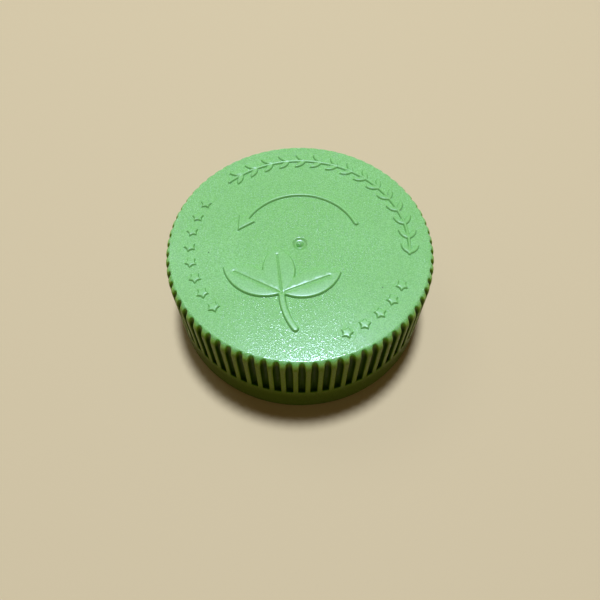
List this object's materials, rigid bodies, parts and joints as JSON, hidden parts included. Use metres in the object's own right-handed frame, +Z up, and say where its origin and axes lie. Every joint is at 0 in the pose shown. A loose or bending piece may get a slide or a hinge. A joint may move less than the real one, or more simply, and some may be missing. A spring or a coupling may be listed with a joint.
{
  "type": "bottle cap",
  "caption": "Low round moulded screw cap with a ribbed skirt above a plain band, raised ornament on its flat top, and a thread inside for a bottle's neck.",
  "frame": {"origin": "centre of the mouth's rim, on the surface that the cap lies on, mouth down", "axes": "+Z up along the cap's axis, from the mouth to the flat top; -Y is the front, where the middle of a flute stands"},
  "size_m": [0.048, 0.048, 0.018],
  "materials": {
    "green_plastic": "fine-grained satin polypropylene, raised marks smoother than the ground"
  },
  "bodies": {
    "root": {"cap": "green_plastic"}
  },
  "joints": []
}
